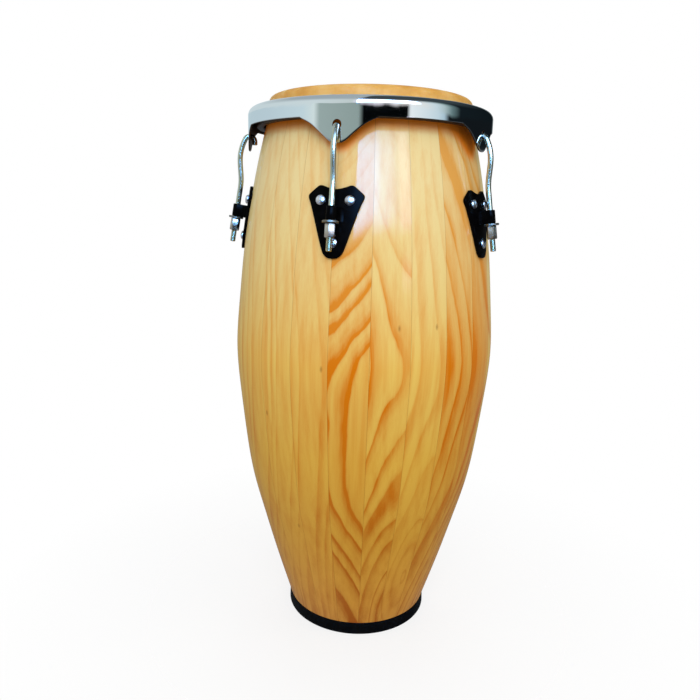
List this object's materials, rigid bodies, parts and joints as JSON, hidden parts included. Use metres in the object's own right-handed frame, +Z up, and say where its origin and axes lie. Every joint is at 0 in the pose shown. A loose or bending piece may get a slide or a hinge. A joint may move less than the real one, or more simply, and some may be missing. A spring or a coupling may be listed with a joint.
{
  "type": "conga drum",
  "caption": "Tall barrel hand drum of glued wooden staves with a skin head, a lobed chrome rim, hook tuning rods on black side plates and a rubber foot ring.",
  "frame": {"origin": "on the floor under the middle of the drum, on the shell's axis, at the bottom face of the rubber foot ring", "axes": "+Z up along the shell's axis towards the playing surface; the pictured side faces -Y"},
  "size_m": [0.3829, 0.3826, 0.762],
  "materials": {
    "lacquered_wood": "natural light wood staves with brown streaks under clear gloss lacquer",
    "rubber": "black, matt",
    "hide": "tan translucent skin, satin",
    "chrome": "mirror bright",
    "black_coat": "black powder coat, glossy",
    "zinc_steel": "zinc plated, satin",
    "hoop_steel": "plain steel, satin"
  },
  "bodies": {
    "shell": {"stave_01": "lacquered_wood", "stave_02": "lacquered_wood", "stave_03": "lacquered_wood", "stave_04": "lacquered_wood", "stave_05": "lacquered_wood", "stave_06": "lacquered_wood", "stave_07": "lacquered_wood", "stave_08": "lacquered_wood", "stave_09": "lacquered_wood", "stave_10": "lacquered_wood", "stave_11": "lacquered_wood", "stave_12": "lacquered_wood", "stave_13": "lacquered_wood", "stave_14": "lacquered_wood", "stave_15": "lacquered_wood", "stave_16": "lacquered_wood", "stave_17": "lacquered_wood", "stave_18": "lacquered_wood", "stave_19": "lacquered_wood", "stave_20": "lacquered_wood", "stave_21": "lacquered_wood", "bottom_ring": "rubber", "head_skin": "hide", "side_plate_1": "black_coat", "washer_1": "zinc_steel", "plate_bolt_1a": "chrome", "plate_bolt_1b": "chrome", "plate_bolt_1c": "chrome", "side_plate_2": "black_coat", "washer_2": "zinc_steel", "plate_bolt_2a": "chrome", "plate_bolt_2b": "chrome", "plate_bolt_2c": "chrome", "side_plate_3": "black_coat", "washer_3": "zinc_steel", "plate_bolt_3a": "chrome", "plate_bolt_3b": "chrome", "plate_bolt_3c": "chrome", "side_plate_4": "black_coat", "washer_4": "zinc_steel", "plate_bolt_4a": "chrome", "plate_bolt_4b": "chrome", "plate_bolt_4c": "chrome", "side_plate_5": "black_coat", "washer_5": "zinc_steel", "plate_bolt_5a": "chrome", "plate_bolt_5b": "chrome", "plate_bolt_5c": "chrome"},
    "rim": {"rim": "chrome", "flesh_hoop": "hoop_steel"},
    "hook_1": {"hook_1": "chrome"},
    "nut_1": {"tuning_nut_1": "zinc_steel"},
    "hook_2": {"hook_2": "chrome"},
    "nut_2": {"tuning_nut_2": "zinc_steel"},
    "hook_3": {"hook_3": "chrome"},
    "nut_3": {"tuning_nut_3": "zinc_steel"},
    "hook_4": {"hook_4": "chrome"},
    "nut_4": {"tuning_nut_4": "zinc_steel"},
    "hook_5": {"hook_5": "chrome"},
    "nut_5": {"tuning_nut_5": "zinc_steel"}
  },
  "joints": [
    {"name": "rim_tuning", "type": "slide", "parent": "shell", "child": "rim", "axis": [0, 0, -1], "range_m": [-0.006, 0.006], "deforming": ["head_skin"]},
    {"name": "hook_1_slide", "type": "slide", "parent": "shell", "child": "hook_1", "axis": [-0.071, -0.1394, -0.9877], "range_m": [-0.00617, 0.00617]},
    {"name": "nut_1_turn", "type": "hinge", "parent": "shell", "child": "nut_1", "pos_m": [-0.086, -0.16879, 0.58961], "axis": [0.071, 0.1394, 0.9877], "range_deg": [-1770, 1770]},
    {"name": "hook_2_slide", "type": "slide", "parent": "shell", "child": "hook_2", "axis": [0.1106, -0.1106, -0.9877], "range_m": [-0.00617, 0.00617]},
    {"name": "nut_2_turn", "type": "hinge", "parent": "shell", "child": "nut_2", "pos_m": [0.13395, -0.13395, 0.58961], "axis": [-0.1106, 0.1106, 0.9877], "range_deg": [-1770, 1770]},
    {"name": "hook_3_slide", "type": "slide", "parent": "shell", "child": "hook_3", "axis": [0.1394, 0.071, -0.9877], "range_m": [-0.00617, 0.00617]},
    {"name": "nut_3_turn", "type": "hinge", "parent": "shell", "child": "nut_3", "pos_m": [0.16879, 0.086, 0.58961], "axis": [-0.1394, -0.071, 0.9877], "range_deg": [-1770, 1770]},
    {"name": "hook_4_slide", "type": "slide", "parent": "shell", "child": "hook_4", "axis": [-0.0245, 0.1546, -0.9877], "range_m": [-0.00617, 0.00617]},
    {"name": "nut_4_turn", "type": "hinge", "parent": "shell", "child": "nut_4", "pos_m": [-0.02964, 0.18711, 0.58961], "axis": [0.0245, -0.1546, 0.9877], "range_deg": [-1770, 1770]},
    {"name": "hook_5_slide", "type": "slide", "parent": "shell", "child": "hook_5", "axis": [-0.1546, 0.0245, -0.9877], "range_m": [-0.00617, 0.00617]},
    {"name": "nut_5_turn", "type": "hinge", "parent": "shell", "child": "nut_5", "pos_m": [-0.18711, 0.02964, 0.58961], "axis": [0.1546, -0.0245, 0.9877], "range_deg": [-1770, 1770]}
  ],
  "couplings": [
    {"joint": "hook_1_slide", "follows": "rim_tuning", "ratio": 1.0125},
    {"joint": "nut_1_turn", "follows": "rim_tuning", "rad_per_m": 5089.2},
    {"joint": "hook_2_slide", "follows": "rim_tuning", "ratio": 1.0125},
    {"joint": "nut_2_turn", "follows": "rim_tuning", "rad_per_m": 5089.2},
    {"joint": "hook_3_slide", "follows": "rim_tuning", "ratio": 1.0125},
    {"joint": "nut_3_turn", "follows": "rim_tuning", "rad_per_m": 5089.2},
    {"joint": "hook_4_slide", "follows": "rim_tuning", "ratio": 1.0125},
    {"joint": "nut_4_turn", "follows": "rim_tuning", "rad_per_m": 5089.2},
    {"joint": "hook_5_slide", "follows": "rim_tuning", "ratio": 1.0125},
    {"joint": "nut_5_turn", "follows": "rim_tuning", "rad_per_m": 5089.2}
  ]
}
